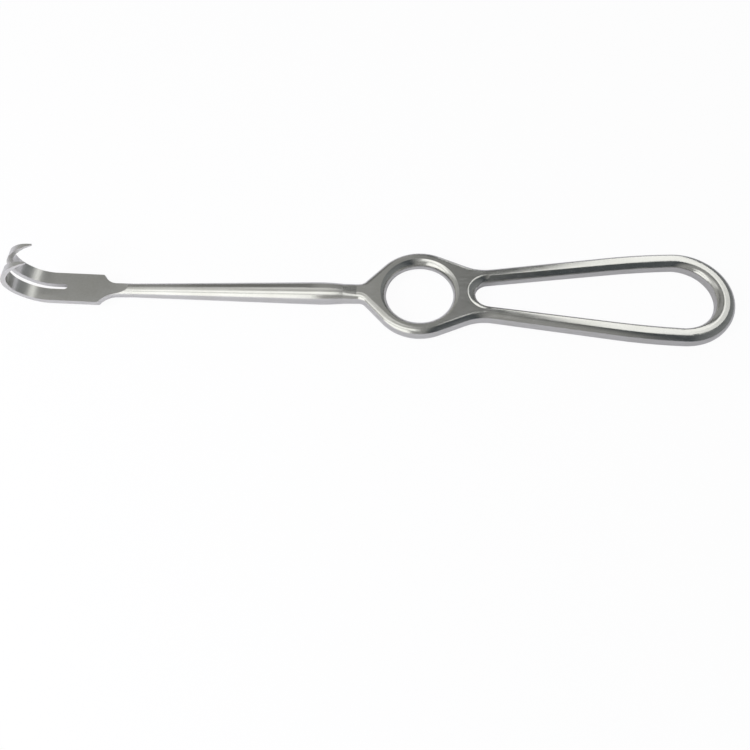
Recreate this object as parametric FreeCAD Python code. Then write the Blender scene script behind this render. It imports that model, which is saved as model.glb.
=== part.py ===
"""Two-pronged rake retractor: a forked, curled blade, a tapered shank and a ring-and-loop handle.

Millimetres, +Z up. The origin is the centre of the finger ring, halfway through its thickness.
+X runs to the end of the grip loop, and the prongs curl up at the other end.
"""

import FreeCAD, Part
import math
import os

# Handle forging
handle_thickness = 5.0
edge_round = 2.2          # rounding of all outer and loop edges
ring_outer_radius = 15.1
ring_bar_width = 4.7      # from the outer edge to the finger hole at its narrowest
rim_land = 0.9            # flat top of the ring between its rounded edge and the hole's rim
land_length = 1.0         # length of the cylindrical middle of the finger hole
wall_radius = 3.5         # crown of the wall between land and rim
neck_half_width = 2.97
neck_arc_radius = 2.6     # concave corner between neck and ring flare
neck_straight = 0.54      # straight side of the neck between that corner and the neck's end
neck_length = 4.1         # from the neck's end to the handle weld
flare_angle = 47.7        # slope of the ring's flank on the shank side
flank_angle = 23.6        # slope of the ring's flank on the loop side
waist_radius = 14.5       # concave outline between ring and loop
waist_half_width = 8.94
waist_distance = 4.9      # from the ring's outer edge to where the waist's width is given
root_gap = 6.66           # metal between the finger hole and the loop opening
root_rim_width = 2.5      # from the round root of the loop opening out to its crisp rim
root_relief = 0.5         # how much tighter that rim's turned wall is than the opening's root

# Grip loop: straight branches, gently crowned sides and a round end
grip_end_x = 93.95        # outer end of the loop, from the ring's centre
loop_end_radius = 15.85
loop_side_radius = 175.0
loop_side_turn = 6.5      # degrees that each crowned side turns through
opening_side_radius = 255.0
opening_side_turn = 4.3
bar_width_root = 4.73
bar_width_side = 5.07
bar_width_end = 5.57

# Shank
shank_length = 66.5       # from the handle weld to the blade weld
crown_length = 9.5        # rounded run between the handle weld and the straight taper
weld_radius = 3.07        # shank and neck at the handle weld
taper_end_radius = 3.45
shank_tip_radius = 2.19   # shank and blade root at the blade weld

# Blade
blade_width = 10.38
blade_thickness = 1.77
plate_rise = 0.87         # height that the plate gains between its root and the bend
shoulder_radius = 5.45    # concave shoulder between the blade's corner and its root
corner_round = 0.65
root_length = 10.4        # from the blade weld to the corners where the plate narrows
root_land = 1.2           # round root between the blade weld and the plate's flats
root_radius = 2.23        # round root where the shoulder runs out
flat_run_radius = 21.0    # hollow in which the flats run out on the root
flat_clearance = 0.05     # how far the flats' profile stands off the round root beyond them
slot_width = 1.88
slot_start = 10.8         # from the shoulder corners to the closed end of the slot
straight_length = 15.2    # from the shoulder corners to the start of the bend
first_bend_radius = 10.8  # mid-plane radii and angles of the three arcs of the hook
first_bend_angle = 54.1
second_bend_radius = 6.7
second_bend_angle = 79.0
third_bend_radius = 14.65
third_bend_angle = 36.3
prong_spread = 0.34       # how far each prong leans outward over the height of the hook
grind_start = 0.48        # share of the bent length at which the points start to be ground
tip_width = 0.51
tip_thickness = 0.37
tip_shift = 0.11          # how far each point sits inward of its prong's middle
grind_bulge = 0.19        # how far each ground flank stands out of straight

# Corner between neck and ring: an arc that touches the neck's side and the ring's flank
flare = math.radians(flare_angle)
corner_y = neck_half_width + neck_arc_radius
corner_x = (math.cos(flare) * corner_y - ring_outer_radius - neck_arc_radius) / math.sin(flare)

# Stations along the instrument, each from the one before it
eye_radius = ring_outer_radius - ring_bar_width
eye_rim_radius = ring_outer_radius - edge_round - rim_land
waist_x = ring_outer_radius + waist_distance
neck_end_x = corner_x - neck_straight       # where the round neck turns into the flat forging
handle_weld_x = neck_end_x - neck_length    # butt weld between handle and shank
taper_end_x = handle_weld_x - crown_length  # end of the shank's straight taper
blade_weld_x = handle_weld_x - shank_length
flat_end_x = blade_weld_x - root_land       # where the blade's flats run out on its round root
shoulder_x = blade_weld_x - root_length

BENDS = ((first_bend_radius, first_bend_angle), (second_bend_radius, second_bend_angle),
         (third_bend_radius, third_bend_angle))
PARTS = "parts"
MARGIN = 5.0              # how far cutting shapes reach past what they cut


def vec(x, y, z=0.0):
    return FreeCAD.Vector(x, y, z)


def unit(degrees):
    angle = math.radians(degrees)
    return vec(math.cos(angle), math.sin(angle))


def line(start, end):
    return Part.LineSegment(start, end).toShape()


def arc(centre, radius, start_degrees, end_degrees):
    """Arc in the XY plane, from one direction to the other as seen from its centre."""
    middle = (start_degrees + end_degrees) / 2
    points = [centre + unit(angle) * radius for angle in (start_degrees, middle, end_degrees)]
    return Part.Arc(*points).toShape()


def ends(edge):
    return edge.Vertexes[0].Point, edge.Vertexes[-1].Point


def joined(edges):
    """Adds the straight runs between edges that follow each other and returns the whole list."""
    chain = [edges[0]]
    for edge in edges[1:]:
        last = chain[-1].valueAt(chain[-1].LastParameter)
        first = edge.valueAt(edge.FirstParameter)
        if last.distanceToPoint(first) > 1e-6:
            chain.append(line(last, first))
        chain.append(edge)
    return chain


def closed_by_mirror(edges):
    """Closes a half outline that starts and ends on the X axis with its mirror image."""
    half = Part.Wire(edges)
    other = half.mirror(vec(0, 0), vec(0, 1))
    return Part.Wire(Part.__sortEdges__(half.Edges + other.Edges))


def loop_half(anchor, end_x, end_radius, side_radius, side_turn):
    """Straight branch, crowned side and round end of the loop, for y >= 0.

    The straight branch passes the anchor point. Returns its slope in degrees, its distance
    from the origin, and the two arcs.
    """
    end_centre = vec(end_x - end_radius, 0)
    reach = end_radius + (side_radius - end_radius) * (1 - math.cos(math.radians(side_turn)))
    to_end = end_centre - anchor
    slope = math.degrees(math.atan2(to_end.y, to_end.x) + math.asin(reach / to_end.Length))
    normal = unit(slope + 90)
    side_direction = slope + 90 - side_turn
    side_centre = end_centre - unit(side_direction) * (side_radius - end_radius)
    side = arc(side_centre, side_radius, slope + 90, side_direction)
    end = arc(end_centre, end_radius, side_direction, 0)
    return slope, anchor.dot(normal), [side, end]


def crossing_of_offsets(normal_a, distance_a, normal_b, distance_b):
    """Point at the given distances from the origin along two unit normals."""
    cross = normal_a.x * normal_b.y - normal_a.y * normal_b.x
    x = (distance_a * normal_b.y - distance_b * normal_a.y) / cross
    y = (normal_a.x * distance_b - normal_b.x * distance_a) / cross
    return vec(x, y)


def handle_outline():
    """Outer plan outline of the forging, from the neck round the ring and the loop."""
    neck_corner = arc(vec(corner_x, corner_y), neck_arc_radius, -90, flare_angle - 90)

    anchor = vec(waist_x, waist_half_width)
    slope, distance, loop_arcs = loop_half(anchor, grip_end_x, loop_end_radius,
                                           loop_side_radius, loop_side_turn)
    ring = arc(vec(0, 0), ring_outer_radius, 90 + flare_angle, 90 - flank_angle)
    waist_centre = crossing_of_offsets(unit(90 - flank_angle), ring_outer_radius + waist_radius,
                                       unit(90 + slope), distance + waist_radius)
    waist = arc(waist_centre, waist_radius, 270 - flank_angle, 270 + slope)

    neck = line(vec(neck_end_x, 0), vec(neck_end_x, neck_half_width))
    return closed_by_mirror(joined([neck, neck_corner, ring, waist] + loop_arcs))


def loop_opening():
    """Plan outline of the opening inside the grip loop, with the centre and radius of its root."""
    anchor = vec(waist_x, waist_half_width - bar_width_root)
    slope, distance, loop_arcs = loop_half(anchor, grip_end_x - bar_width_end,
                                           loop_end_radius - bar_width_side,
                                           opening_side_radius, opening_side_turn)
    sine = math.sin(math.radians(slope))
    start_x = eye_radius + root_gap
    radius = (distance + sine * start_x) / (1 - sine)
    centre = vec(start_x + radius, 0)
    root = arc(centre, radius, 180, 90 + slope)
    return closed_by_mirror(joined([root] + loop_arcs)), centre, radius


def slab(wire, height):
    """Prism of a plan outline, centred on z = 0."""
    face = Part.Face(wire)
    face.translate(vec(0, 0, -height / 2))
    return face.extrude(vec(0, 0, height))


def turned_opening(centre, hole_radius, rim_radius):
    """Turned cutter for a round opening: a short land, a crowned wall and a crisp rim."""
    top = handle_thickness / 2
    land_top = vec(hole_radius, 0, land_length / 2)
    rim = vec(rim_radius, 0, top)
    chord = rim - land_top
    sagitta = wall_radius - math.sqrt(wall_radius ** 2 - (chord.Length / 2) ** 2)
    inward = vec(-chord.z, 0, chord.x).normalize()
    crown = (land_top + rim) * 0.5 + inward * sagitta
    mirror = FreeCAD.Matrix()
    mirror.scale(1, 1, -1)
    upper = Part.Arc(land_top, crown, rim).toShape()
    lower = Part.Arc(mirror.multVec(rim), mirror.multVec(crown), mirror.multVec(land_top)).toShape()
    axis_low = vec(0, 0, -top - MARGIN)
    axis_high = vec(0, 0, top + MARGIN)
    low = vec(rim_radius, 0, -top - MARGIN)
    high = vec(rim_radius, 0, top + MARGIN)
    edges = [line(axis_low, low), line(low, mirror.multVec(rim)), lower,
             line(mirror.multVec(land_top), land_top), upper, line(rim, high),
             line(high, axis_high), line(axis_high, axis_low)]
    cutter = Part.Face(Part.Wire(edges)).revolve(vec(0, 0, 0), vec(0, 0, 1), 360)
    cutter.translate(centre)
    return cutter


def is_outline_edge(edge):
    """True for an edge round a flat face, other than those across the neck's end."""
    first, last = ends(edge)
    level = abs(first.z - last.z) < 1e-6
    across_neck = abs(first.x - neck_end_x) < 1e-6 and abs(last.x - neck_end_x) < 1e-6
    return level and not across_neck


def rounded_section(x, half_width, half_height, corner):
    """Rounded rectangle across the X axis, as eight edges that start beside the top middle."""
    inner_y = half_width - corner
    inner_z = half_height - corner
    edges = []
    for sign_y, sign_z, start in ((1, 1, 0), (-1, 1, 90), (-1, -1, 180), (1, -1, 270)):
        centre = vec(x, sign_y * inner_y, sign_z * inner_z)
        points = [centre + vec(0, unit(a).x, unit(a).y) * corner for a in (start, start + 45, start + 90)]
        edges.append(Part.Arc(*points).toShape())
    return Part.Wire(joined(edges + [edges[0]])[:-1])


def round_section(x, radius, half_width, half_height, corner):
    """Circle across the X axis, split into the eight edges of a matching rounded section."""
    side = math.degrees(math.atan2(half_height - corner, half_width))
    top = math.degrees(math.atan2(half_height, half_width - corner))
    stops = [side, top, 180 - top, 180 - side, 180 + side, 180 + top, 360 - top, 360 - side, 360 + side]
    edges = []
    for start, end in zip(stops, stops[1:]):
        angles = (start, (start + end) / 2, end)
        points = [vec(x, radius * unit(a).x, radius * unit(a).y) for a in angles]
        edges.append(Part.Arc(*points).toShape())
    return Part.Wire(edges)


def make_handle():
    """Ring and loop as one flat forging with rounded edges, on a round neck."""
    opening, root_centre, opening_root_radius = loop_opening()
    body = slab(handle_outline(), handle_thickness)
    body = body.cut(slab(opening, handle_thickness + MARGIN))
    body = body.makeFillet(edge_round, [edge for edge in body.Edges if is_outline_edge(edge)])
    body = body.cut(turned_opening(vec(0, 0), eye_radius, eye_rim_radius))
    relief_centre = root_centre - vec(root_relief, 0)
    relief_radius = opening_root_radius - root_relief
    body = body.cut(turned_opening(relief_centre, relief_radius, relief_radius + root_rim_width))
    flat = (neck_half_width, handle_thickness / 2, edge_round)
    sections = [round_section(handle_weld_x, weld_radius, *flat),
                rounded_section(neck_end_x, *flat)]
    neck = Part.makeLoft(sections, True)
    return body.fuse(neck)


def make_shank():
    """Turned bar that tapers toward the blade and is necked in just before the handle weld."""
    tip = vec(blade_weld_x, 0, shank_tip_radius)
    taper_end = vec(taper_end_x, 0, taper_end_radius)
    weld = vec(handle_weld_x, 0, weld_radius)
    along = (taper_end - tip).normalize()
    downward = vec(along.z, 0, -along.x)
    chord = weld - taper_end
    crown_radius = chord.Length ** 2 / (2 * chord.dot(downward))
    half_turn = math.asin(chord.Length / (2 * crown_radius))
    crown = taper_end + along * (crown_radius * math.sin(half_turn))
    crown += downward * (crown_radius * (1 - math.cos(half_turn)))
    near_axis = vec(blade_weld_x, 0, 0)
    far_axis = vec(handle_weld_x, 0, 0)
    edges = [line(near_axis, tip), line(tip, taper_end), Part.Arc(taper_end, crown, weld).toShape(),
             line(weld, far_axis), line(far_axis, near_axis)]
    return Part.Face(Part.Wire(edges)).revolve(near_axis, vec(1, 0, 0), 360)


def shoulder_end():
    """Station where the shoulder arcs run out into the blade's root."""
    rise = root_radius + shoulder_radius - blade_width / 2
    return shoulder_x + math.sqrt(shoulder_radius ** 2 - rise ** 2)


def bend_start():
    """Place and slope (degrees) of the plate's mid-plane where the bend starts."""
    x = shoulder_x - straight_length
    return vec(x, 0, plate_rise), math.degrees(math.atan2(plate_rise, shoulder_end() - x))


def hook_frame(distance):
    """Mid-plane point and heading (degrees above -X) at a distance along the bend."""
    point, heading = bend_start()
    for radius, angle in BENDS:
        turned = min(angle, math.degrees(max(distance, 0) / radius))
        start = math.radians(heading)
        end = math.radians(heading + turned)
        point += vec(math.sin(start) - math.sin(end), 0, math.cos(start) - math.cos(end)) * radius
        heading += turned
        distance -= radius * math.radians(angle)
    return point, heading


def bent_length():
    return sum(radius * math.radians(angle) for radius, angle in BENDS)


def hook_thickness(distance):
    """Full thickness of the blade at a distance along the bend, thinner toward the points."""
    start = grind_start * bent_length()
    share = max(0.0, (distance - start) / (bent_length() - start))
    return blade_thickness + (tip_thickness - blade_thickness) * share


def hook_points(side, start, end, count):
    """Points along one face of the hook, evenly spaced between two distances along the bend."""
    points = []
    for step in range(count):
        distance = start + (end - start) * step / (count - 1)
        centre, heading = hook_frame(distance)
        angle = math.radians(heading)
        inward = vec(math.sin(angle), 0, math.cos(angle))
        points.append(centre + inward * (side * hook_thickness(distance) / 2))
    return points


def hook_side(side):
    """Edges along the inner (+1) or outer (-1) face of the hook, from the bend's start to the point."""
    first_arc = BENDS[0][0] * math.radians(BENDS[0][1])
    grind = grind_start * bent_length()
    edges = []
    for start, end in ((0, first_arc), (first_arc, grind)):
        edges.append(Part.Arc(*hook_points(side, start, end, 3)).toShape())
    tapered = Part.BSplineCurve()
    tapered.interpolate(hook_points(side, grind, bent_length(), 9))
    return edges + [tapered.toShape()]


def flat_run_out(side):
    """Hollow arc in which one flat of the plate climbs to the surface of the root."""
    low = blade_thickness / 2
    high = shank_tip_radius + flat_clearance
    run = math.sqrt(flat_run_radius ** 2 - (flat_run_radius - high + low) ** 2)
    half_run = run / 2
    half_rise = flat_run_radius - math.sqrt(flat_run_radius ** 2 - half_run ** 2)
    start_x = flat_end_x - run
    points = [vec(start_x, 0, side * low), vec(start_x + half_run, 0, side * (low + half_rise)),
              vec(flat_end_x, 0, side * high)]
    return Part.Arc(*points).toShape(), points[0], points[-1]


def side_profile():
    """Side view of the whole blade as a face in the XZ plane."""
    inner = hook_side(1)
    outer = hook_side(-1)
    upper_run, upper_start, upper_end = flat_run_out(1)
    lower_run, lower_start, lower_end = flat_run_out(-1)
    root_top = vec(blade_weld_x, 0, upper_end.z)
    root_bottom = vec(blade_weld_x, 0, lower_end.z)
    edges = inner + outer + [upper_run, lower_run]
    edges += [line(inner[0].valueAt(inner[0].FirstParameter), upper_start),
              line(outer[0].valueAt(outer[0].FirstParameter), lower_start),
              line(inner[-1].valueAt(inner[-1].LastParameter), outer[-1].valueAt(outer[-1].LastParameter)),
              line(upper_end, root_top), line(root_top, root_bottom), line(root_bottom, lower_end)]
    return Part.Face(Part.Wire(Part.__sortEdges__(edges)))


def leaning_prism(half_width, start_x):
    """Prism along -X whose sides stand upright beside the plate and lean outward above it."""
    base = plate_rise + blade_thickness / 2
    top = hook_frame(bent_length())[0].z
    lean = prong_spread / (top - base)
    high = top + MARGIN
    wide = half_width + lean * (high - base)
    corners = [(-half_width, -MARGIN), (half_width, -MARGIN), (half_width, base), (wide, high),
               (-wide, high), (-half_width, base)]
    points = [vec(start_x, y, z) for y, z in corners]
    length = straight_length + BENDS[0][0] + MARGIN + start_x - shoulder_x
    return Part.Face(Part.makePolygon(points + points[:1])).extrude(vec(-length, 0, 0))


def shoulder_envelope():
    """Turned envelope: the round root, the concave shoulder, and clear space round plate and hook."""
    end_x = shoulder_end()
    centre_z = root_radius + shoulder_radius
    clear = 6 * MARGIN
    far_x = shoulder_x - straight_length - BENDS[0][0] - MARGIN
    slant = math.sqrt(0.5) * shoulder_radius
    hollow = Part.Arc(vec(end_x, 0, root_radius), vec(end_x - slant, 0, centre_z - slant),
                      vec(end_x - shoulder_radius, 0, centre_z)).toShape()
    before = [vec(blade_weld_x, 0, 0), vec(blade_weld_x, 0, shank_tip_radius), vec(end_x, 0, root_radius)]
    after = [vec(end_x - shoulder_radius, 0, centre_z), vec(end_x - shoulder_radius, 0, clear),
             vec(far_x, 0, clear), vec(far_x, 0, 0), before[0]]
    edges = [line(a, b) for a, b in zip(before, before[1:])] + [hollow]
    edges += [line(a, b) for a, b in zip(after, after[1:])]
    return Part.Face(Part.Wire(edges)).revolve(vec(0, 0, 0), vec(1, 0, 0), 360)


def slot():
    """Cutter for the slot between the prongs, with a round closed end."""
    half = slot_width / 2
    end_x = shoulder_x - slot_start - half
    round_end = Part.makeCylinder(half, 2 * MARGIN, vec(end_x, 0, -MARGIN))
    return leaning_prism(half, end_x).fuse(round_end)


def ground_side(side):
    """Cutter that grinds one flank (outer +1, slot side -1) of the +Y prong to its point."""
    start = hook_frame(grind_start * bent_length())[0]
    tip = hook_frame(bent_length())[0]
    along = (tip - start).normalize()
    length = start.distanceToPoint(tip)
    across = vec(along.z, 0, -along.x)
    base = plate_rise + blade_thickness / 2
    spread_at_start = prong_spread * (start.z - base) / (tip.z - base)
    prong_width = (blade_width - slot_width) / 2
    middle_y = (blade_width + slot_width) / 4
    start_y = middle_y + spread_at_start + side * prong_width / 2
    tip_y = middle_y + prong_spread - tip_shift + side * tip_width / 2
    clear_y = middle_y + side * middle_y
    bulge_y = (start_y + tip_y) / 2 + side * grind_bulge

    def place(distance, y):
        return start + along * distance + vec(0, y, 0) - across * MARGIN

    flank = Part.Arc(place(0, start_y), place(length / 2, bulge_y), place(length, tip_y)).toShape()
    rest = [place(length, tip_y), place(length + MARGIN, tip_y), place(length + MARGIN, clear_y),
            place(0, clear_y), place(0, start_y)]
    edges = [flank] + [line(a, b) for a, b in zip(rest, rest[1:])]
    return Part.Face(Part.Wire(edges)).extrude(across * (2 * MARGIN))


def make_blade():
    """Forked plate with two curled, ground prongs, a round root and hollow shoulders."""
    profile = side_profile()
    reach = blade_width
    profile.translate(vec(0, -reach, 0))
    strip = profile.extrude(vec(0, 2 * reach, 0))
    strip = strip.common(leaning_prism(blade_width / 2, blade_weld_x))
    strip = strip.common(shoulder_envelope())
    corners = [edge for edge in strip.Edges if is_shoulder_corner(edge)]
    strip = strip.makeFillet(corner_round, corners)
    strip = strip.cut(slot())
    for side in (1, -1):
        cutter = ground_side(side)
        strip = strip.cut(cutter).cut(cutter.mirror(vec(0, 0, 0), vec(0, 1, 0)))
    return strip


def is_shoulder_corner(edge):
    """True for the upright edges between the plate's sides and its hollow shoulders."""
    first, last = ends(edge)
    on_sides = all(abs(abs(point.y) - blade_width / 2) < 1e-3 for point in (first, last))
    return on_sides and first.x > shoulder_x - MARGIN / 2 and last.x > shoulder_x - MARGIN / 2


def save(name, shape):
    """Writes one sub-part and says what it is made of."""
    shape = shape.removeSplitter()
    if not shape.isValid() or len(shape.Solids) != 1:
        raise ValueError(name + " is not one valid solid")
    shape.Solids[0].exportStep(os.path.join(PARTS, name + ".step"))
    print(name, round(shape.Volume, 1), len(shape.Faces))


os.makedirs(PARTS, exist_ok=True)
save("handle", make_handle())
save("shank", make_shank())
save("blade", make_blade())
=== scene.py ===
import math

import bpy
from mathutils import Matrix, Vector


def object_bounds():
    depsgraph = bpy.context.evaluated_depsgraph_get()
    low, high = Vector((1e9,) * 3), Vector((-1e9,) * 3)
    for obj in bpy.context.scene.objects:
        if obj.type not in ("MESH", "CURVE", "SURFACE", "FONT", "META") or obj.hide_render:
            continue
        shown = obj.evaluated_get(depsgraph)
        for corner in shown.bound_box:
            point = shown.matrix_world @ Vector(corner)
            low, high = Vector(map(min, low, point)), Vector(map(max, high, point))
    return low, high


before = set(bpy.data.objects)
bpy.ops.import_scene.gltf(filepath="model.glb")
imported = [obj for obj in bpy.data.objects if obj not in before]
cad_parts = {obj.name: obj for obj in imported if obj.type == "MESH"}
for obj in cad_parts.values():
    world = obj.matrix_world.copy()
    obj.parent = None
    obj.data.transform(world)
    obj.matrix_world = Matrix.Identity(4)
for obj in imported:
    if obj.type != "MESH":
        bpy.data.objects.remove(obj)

# Looks of the rake retractor: satin steel, a white table, soft boxes and the photo's camera.
# Lengths are in metres. X runs from the blade to the loop, Y away from the camera and Z up.

# Camera, fitted to the photograph's perspective. Angles in degrees, picture places in pixels.
PICTURE_PX = 750
FOCAL_PX = 649.62
CAMERA_ELEVATION = 62.916
CAMERA_AZIMUTH = 7.212
CAMERA_ROLL = -5.110
ORIGIN_PX = (419.571, 295.064)      # where the finger ring's centre is seen
METRES_PER_PX = 0.00030853          # at the ring centre's distance
SENSOR_MM = 36.0
NEAREST_SEEN = 0.01

WHITE = (1, 1, 1, 1)

# Soft boxes and a dim card, as strips of a cylinder round the instrument's axis, on its blade side.
# Each has two angles from straight up, toward the camera, then two places along X, and a strength.
BOX_RADIUS = 0.25
BOX_STEPS = 12            # flat faces along the curve of one strip
BOXES = {
    "card_rear": (-85, -22, -0.17, -0.075, 0.22),
    "box_rear_left": (-22, -6, -0.6, -0.13, 0.75),
    "box_rear_top": (-22, -8, -0.13, -0.015, 0.95),
    "box_top_left": (-6, 17, -0.6, -0.13, 0.9),
    "box_top": (-8, 17, -0.13, -0.015, 0.63),
    "box_camera_side": (17, 39, -0.6, -0.01, 1.6),
    "box_gap": (39, 49, -0.6, 0.0, 0.85),
    "box_front": (49, 95, -0.6, -0.07, 1.65),
}
# Walls of the studio, a glowing dome. Each tone has its place, from 0 at the left wall to 1 at the
# right wall, and its colour.
WALL_RADIUS = 1.4
WALL_RINGS = 16
WALL_STEPS = 48
WALL_TURN = 5.7           # degrees that the walls are turned round the vertical
WALL_TONES = (
    (0.0, (0.50, 0.50, 0.50)),
    (0.28, (0.34, 0.34, 0.34)),
    (0.49, (0.40, 0.40, 0.40)),
    (0.555, (0.28, 0.28, 0.28)),
    (0.60, (0.14, 0.145, 0.15)),
    (0.65, (0.05, 0.06, 0.07)),
    (0.70, (0.09, 0.10, 0.11)),
    (0.80, (0.19, 0.20, 0.21)),
    (1.0, (0.27, 0.28, 0.29)),
)
# Long strip light behind the loop, by its corners: degrees to the right and away from straight up.
STRIP_CORNERS = ((12, 6), (25, 6), (36, 78), (14, 78))
STRIP_RADIUS = WALL_RADIUS * 0.9    # a little inside the walls
STRIP_STRENGTH = 1.5
# Key lamp beyond the blade's end, on the camera's side. It lights the floor and leaves a soft shadow.
KEY_PLACE = (-0.5, -0.35, 0.5)
KEY_SIZE = 0.3
KEY_WATTS = 3.7
WORLD_STRENGTH = 0.5      # of the soft light from all round
# White table. The shares say how much of what a ray sees of it is pure white.
FLOOR_SIZE = 6.0
FLOOR_WHITE = 0.96        # for the camera
FLOOR_GLOSSY_WHITE = 0.05     # for reflections
FLOOR_COLOUR = (0.72, 0.71, 0.78, 1)

# Steel. Noise scales are per metre, and the ranges are parts of the noise's 0 to 1.
GRAIN_SCALE = 1500.0
GRAIN_DETAIL = 2.0
GRAIN_RANGE = (0.3, 0.7)
CLOUD_SCALE = 120.0
CLOUD_DETAIL = 3.0
GRAIN_IN_TONE = 0.5       # share of the grain in the tone, and the rest is clouds
TONE_RANGE = (0.35, 0.65)
STEEL_COLOUR = (0.63, 0.63, 0.60)
STEEL_WARM = (0.57, 0.57, 0.53)
ROUGHNESS_SPREAD = 0.03
BUMP_STRENGTH = 0.2
BUMP_HEIGHT = 0.00002
# Scales of the grain along X, Y and Z, below 1 where it is drawn out, and the mean roughness.
STEELS = {
    "handle": ((0.2, 1, 1), 0.2),
    "shank": ((0.08, 1, 1), 0.2),
    "blade": ((1, 1, 1), 0.31),
}


def camera_axes():
    """Right, up and backward directions of the camera."""
    elevation = math.radians(CAMERA_ELEVATION)
    azimuth = math.radians(CAMERA_AZIMUTH)
    roll = math.radians(CAMERA_ROLL)
    unrolled_right = Vector((math.cos(azimuth), math.sin(azimuth), 0))
    ahead = Vector((-math.sin(azimuth), math.cos(azimuth), 0))
    forward = ahead * math.cos(elevation) + Vector((0, 0, -math.sin(elevation)))
    unrolled_up = ahead * math.sin(elevation) + Vector((0, 0, math.cos(elevation)))
    right = unrolled_right * math.cos(roll) + unrolled_up * math.sin(roll)
    up = unrolled_up * math.cos(roll) - unrolled_right * math.sin(roll)
    return right, up, -forward


def add_camera():
    """Camera that sees the ring's centre, the frame's origin, at its place in the photograph."""
    right, up, back = camera_axes()
    middle = PICTURE_PX / 2
    offset_right = (ORIGIN_PX[0] - middle) * METRES_PER_PX
    offset_up = (middle - ORIGIN_PX[1]) * METRES_PER_PX
    distance = FOCAL_PX * METRES_PER_PX
    place = back * distance - right * offset_right - up * offset_up
    data = bpy.data.cameras.new("camera")
    data.sensor_width = SENSOR_MM
    data.lens = FOCAL_PX / PICTURE_PX * SENSOR_MM
    data.clip_start = NEAREST_SEEN
    camera = bpy.data.objects.new("camera", data)
    turn = Matrix((right, up, back)).transposed().to_4x4()
    camera.matrix_world = Matrix.Translation(place) @ turn
    bpy.context.collection.objects.link(camera)
    bpy.context.scene.camera = camera


def new_material(name):
    material = bpy.data.materials.new(name)
    material.use_nodes = True
    material.node_tree.nodes.clear()
    return material, material.node_tree.nodes, material.node_tree.links


def set_surface(nodes, links, shader):
    out = nodes.new("ShaderNodeOutputMaterial")
    links.new(shader, out.inputs["Surface"])


def add_glow(nodes, strength):
    glow = nodes.new("ShaderNodeEmission")
    glow.inputs["Color"].default_value = WHITE
    glow.inputs["Strength"].default_value = strength
    return glow.outputs[0]


def add_shader_mix(nodes, links, share, first, second):
    """First shader where the share is 0, second where it is 1."""
    mix = nodes.new("ShaderNodeMixShader")
    links.new(share, mix.inputs[0])
    links.new(first, mix.inputs[1])
    links.new(second, mix.inputs[2])
    return mix.outputs[0]


def add_math(nodes, links, operation, first, second):
    """Math node from a socket and a socket or number."""
    node = nodes.new("ShaderNodeMath")
    node.operation = operation
    links.new(first, node.inputs[0])
    if isinstance(second, float):
        node.inputs[1].default_value = second
    else:
        links.new(second, node.inputs[1])
    return node.outputs[0]


def background_share(nodes, links, seen, reflected):
    """Socket with one share for rays that see the background and one for rays in metal or glass."""
    path = nodes.new("ShaderNodeLightPath")
    indirect = add_math(nodes, links, "MAXIMUM", path.outputs["Is Glossy Ray"],
                        path.outputs["Is Transmission Ray"])
    direct = add_math(nodes, links, "MULTIPLY", path.outputs["Is Camera Ray"], seen)
    return add_math(nodes, links, "MAXIMUM", direct,
                    add_math(nodes, links, "MULTIPLY", indirect, reflected))


def light_material(name, strength):
    material, nodes, links = new_material(name)
    set_surface(nodes, links, add_glow(nodes, strength))
    return material


def wall_material():
    """Dim glow that goes from grey on the left, over a dark part, to a bluish grey on the right."""
    material, nodes, links = new_material("studio_wall")
    place = nodes.new("ShaderNodeTexCoord")
    split = nodes.new("ShaderNodeSeparateXYZ")
    links.new(place.outputs["Generated"], split.inputs[0])
    tones = nodes.new("ShaderNodeValToRGB")
    tones.color_ramp.interpolation = "EASE"
    stops = tones.color_ramp.elements
    for where, _ in WALL_TONES[1:-1]:
        stops.new(where)
    for stop, (_, colour) in zip(stops, WALL_TONES):
        stop.color = (*colour, 1)
    links.new(split.outputs["X"], tones.inputs["Fac"])
    glow = nodes.new("ShaderNodeEmission")
    links.new(tones.outputs["Color"], glow.inputs["Color"])
    set_surface(nodes, links, glow.outputs[0])
    return material


def floor_material():
    """White that glows for the rays that show the background, and still takes shadows."""
    material, nodes, links = new_material("floor_white")
    matt = nodes.new("ShaderNodeBsdfDiffuse")
    matt.inputs["Color"].default_value = FLOOR_COLOUR
    share = background_share(nodes, links, FLOOR_WHITE, FLOOR_GLOSSY_WHITE)
    set_surface(nodes, links,
                add_shader_mix(nodes, links, share, matt.outputs[0], add_glow(nodes, 1.0)))
    return material


def add_surface(name, verts, faces, material):
    mesh = bpy.data.meshes.new(name)
    mesh.from_pydata(verts, [], faces)
    mesh.materials.append(material)
    surface = bpy.data.objects.new(name, mesh)
    bpy.context.collection.objects.link(surface)
    return surface


def add_light(name, verts, faces, material):
    """Glowing surface that the camera doesn't see and that casts no shadow."""
    light = add_surface(name, verts, faces, material)
    light.visible_camera = False
    light.visible_shadow = False
    return light


def add_box(name, start, end, left_x, right_x, strength):
    """One strip of the cylinder of soft boxes."""
    verts = []
    for step in range(BOX_STEPS + 1):
        angle = math.radians(start + (end - start) * step / BOX_STEPS)
        y = -BOX_RADIUS * math.sin(angle)
        z = BOX_RADIUS * math.cos(angle)
        verts += [(left_x, y, z), (right_x, y, z)]
    faces = [(2 * i, 2 * i + 1, 2 * i + 3, 2 * i + 2) for i in range(BOX_STEPS)]
    add_light(name, verts, faces, light_material(name, strength))


def direction(right, away):
    """Unit vector at the given degrees from straight up, to the right and away from the camera."""
    angle = math.hypot(right, away)
    spread = math.sin(math.radians(angle)) / angle
    return Vector((spread * right, spread * away, math.cos(math.radians(angle))))


def add_strip():
    verts = [direction(*corner) * STRIP_RADIUS for corner in STRIP_CORNERS]
    add_light("strip", verts, [(0, 1, 2, 3)], light_material("strip", STRIP_STRENGTH))


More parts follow.
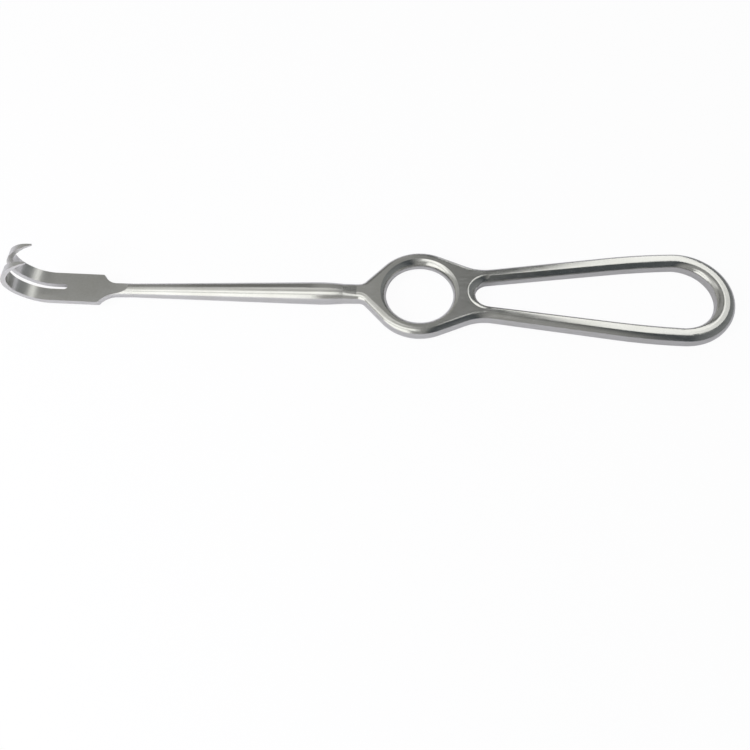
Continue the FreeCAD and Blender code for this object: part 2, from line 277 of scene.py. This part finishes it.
def wall_point(polar, turn):
    """Point of the dome, by its angles from straight up and round the vertical."""
    across = WALL_RADIUS * math.sin(polar)
    return across * math.cos(turn), across * math.sin(turn), WALL_RADIUS * math.cos(polar)


def add_walls():
    """Dome round the studio, from its top point and rings of points."""
    verts = [(0, 0, WALL_RADIUS)]
    for ring in range(1, WALL_RINGS + 1):
        polar = math.pi / 2 * ring / WALL_RINGS
        verts += [wall_point(polar, 2 * math.pi * step / WALL_STEPS) for step in range(WALL_STEPS)]
    faces = [(0, 1 + step, 1 + (step + 1) % WALL_STEPS) for step in range(WALL_STEPS)]
    for ring in range(WALL_RINGS - 1):
        inner = 1 + ring * WALL_STEPS
        outer = inner + WALL_STEPS
        for step in range(WALL_STEPS):
            following = (step + 1) % WALL_STEPS
            faces.append((inner + step, outer + step, outer + following, inner + following))
    walls = add_light("walls", verts, faces, wall_material())
    walls.rotation_euler.z = math.radians(WALL_TURN)


def add_key():
    """Soft key lamp that is turned to the finger ring and isn't seen in the metal."""
    data = bpy.data.lights.new("key", "AREA")
    data.size = KEY_SIZE
    data.energy = KEY_WATTS
    key = bpy.data.objects.new("key", data)
    key.location = KEY_PLACE
    key.rotation_euler = Vector(KEY_PLACE).to_track_quat("Z", "Y").to_euler()
    key.visible_glossy = False
    bpy.context.collection.objects.link(key)


def add_floor(height):
    half = FLOOR_SIZE / 2
    outline = ((-half, -half), (half, -half), (half, half), (-half, half))
    verts = [(x, y, height) for x, y in outline]
    add_surface("floor", verts, [(0, 1, 2, 3)], floor_material())


def add_background(nodes, strength):
    plain = nodes.new("ShaderNodeBackground")
    plain.inputs["Color"].default_value = WHITE
    plain.inputs["Strength"].default_value = strength
    return plain.outputs[0]


def set_world():
    """Plain soft light from all round, which is pure white where it is seen as the background."""
    world = bpy.data.worlds.new("studio")
    bpy.context.scene.world = world
    world.use_nodes = True
    nodes, links = world.node_tree.nodes, world.node_tree.links
    nodes.clear()
    soft = add_background(nodes, WORLD_STRENGTH)
    white = add_background(nodes, 1.0)
    share = background_share(nodes, links, 1.0, 1.0)
    out = nodes.new("ShaderNodeOutputWorld")
    links.new(add_shader_mix(nodes, links, share, soft, white), out.inputs["Surface"])


def add_noise(nodes, links, vector, scale, detail):
    noise = nodes.new("ShaderNodeTexNoise")
    noise.inputs["Scale"].default_value = scale
    noise.inputs["Detail"].default_value = detail
    links.new(vector, noise.inputs["Vector"])
    return noise.outputs["Fac"]


def add_range(nodes, links, value, source, target):
    """Value taken from the source range to the target range, and kept inside it."""
    node = nodes.new("ShaderNodeMapRange")
    for socket, limit in zip(("From Min", "From Max", "To Min", "To Max"), (*source, *target)):
        node.inputs[socket].default_value = limit
    links.new(value, node.inputs["Value"])
    return node.outputs["Result"]


def steel_tone(nodes, links, grain, clouds):
    """Colour between two steels, by grain and clouds together."""
    # Blender's mix node has the share first, its two numbers at 2 and 3 and its colours at 6 and 7.
    mottle = nodes.new("ShaderNodeMix")
    mottle.inputs[0].default_value = GRAIN_IN_TONE
    links.new(clouds, mottle.inputs[2])
    links.new(grain, mottle.inputs[3])
    tone = nodes.new("ShaderNodeMix")
    tone.data_type = "RGBA"
    tone.inputs[6].default_value = (*STEEL_WARM, 1)
    tone.inputs[7].default_value = (*STEEL_COLOUR, 1)
    share = add_range(nodes, links, mottle.outputs[0], TONE_RANGE, (0.0, 1.0))
    links.new(share, tone.inputs[0])
    return tone.outputs[2]


def steel_material(name, grain_scales, roughness):
    """Satin steel: faint cloudy tone, and fine grain in tone, roughness and bump."""
    material, nodes, links = new_material(name)
    place = nodes.new("ShaderNodeTexCoord").outputs["Object"]
    stretch = nodes.new("ShaderNodeMapping")
    stretch.inputs["Scale"].default_value = grain_scales
    links.new(place, stretch.inputs["Vector"])
    grain = add_noise(nodes, links, stretch.outputs["Vector"], GRAIN_SCALE, GRAIN_DETAIL)
    clouds = add_noise(nodes, links, place, CLOUD_SCALE, CLOUD_DETAIL)
    roughness_range = (roughness - ROUGHNESS_SPREAD, roughness + ROUGHNESS_SPREAD)
    bump = nodes.new("ShaderNodeBump")
    bump.inputs["Strength"].default_value = BUMP_STRENGTH
    bump.inputs["Distance"].default_value = BUMP_HEIGHT
    links.new(grain, bump.inputs["Height"])

    shader = nodes.new("ShaderNodeBsdfPrincipled")
    shader.inputs["Metallic"].default_value = 1.0
    links.new(steel_tone(nodes, links, grain, clouds), shader.inputs["Base Color"])
    links.new(add_range(nodes, links, grain, GRAIN_RANGE, roughness_range), shader.inputs["Roughness"])
    links.new(bump.outputs["Normal"], shader.inputs["Normal"])
    set_surface(nodes, links, shader.outputs[0])
    return material


def dress(node, material):
    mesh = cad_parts[node].data
    mesh.materials.clear()
    mesh.materials.append(material)


def corners(box):
    """Lowest and highest corner of a box, as plain lists."""
    return [list(corner) for corner in box]


cad_box = corners(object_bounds())
bpy.context.scene.view_settings.view_transform = "Standard"

for node_name, (scales, mean_roughness) in STEELS.items():
    dress(node_name, steel_material("steel_" + node_name, scales, mean_roughness))

set_world()
add_floor(cad_box[0][2])
for box_name, placing in BOXES.items():
    add_box(box_name, *placing)
add_strip()
add_walls()
add_key()
add_camera()
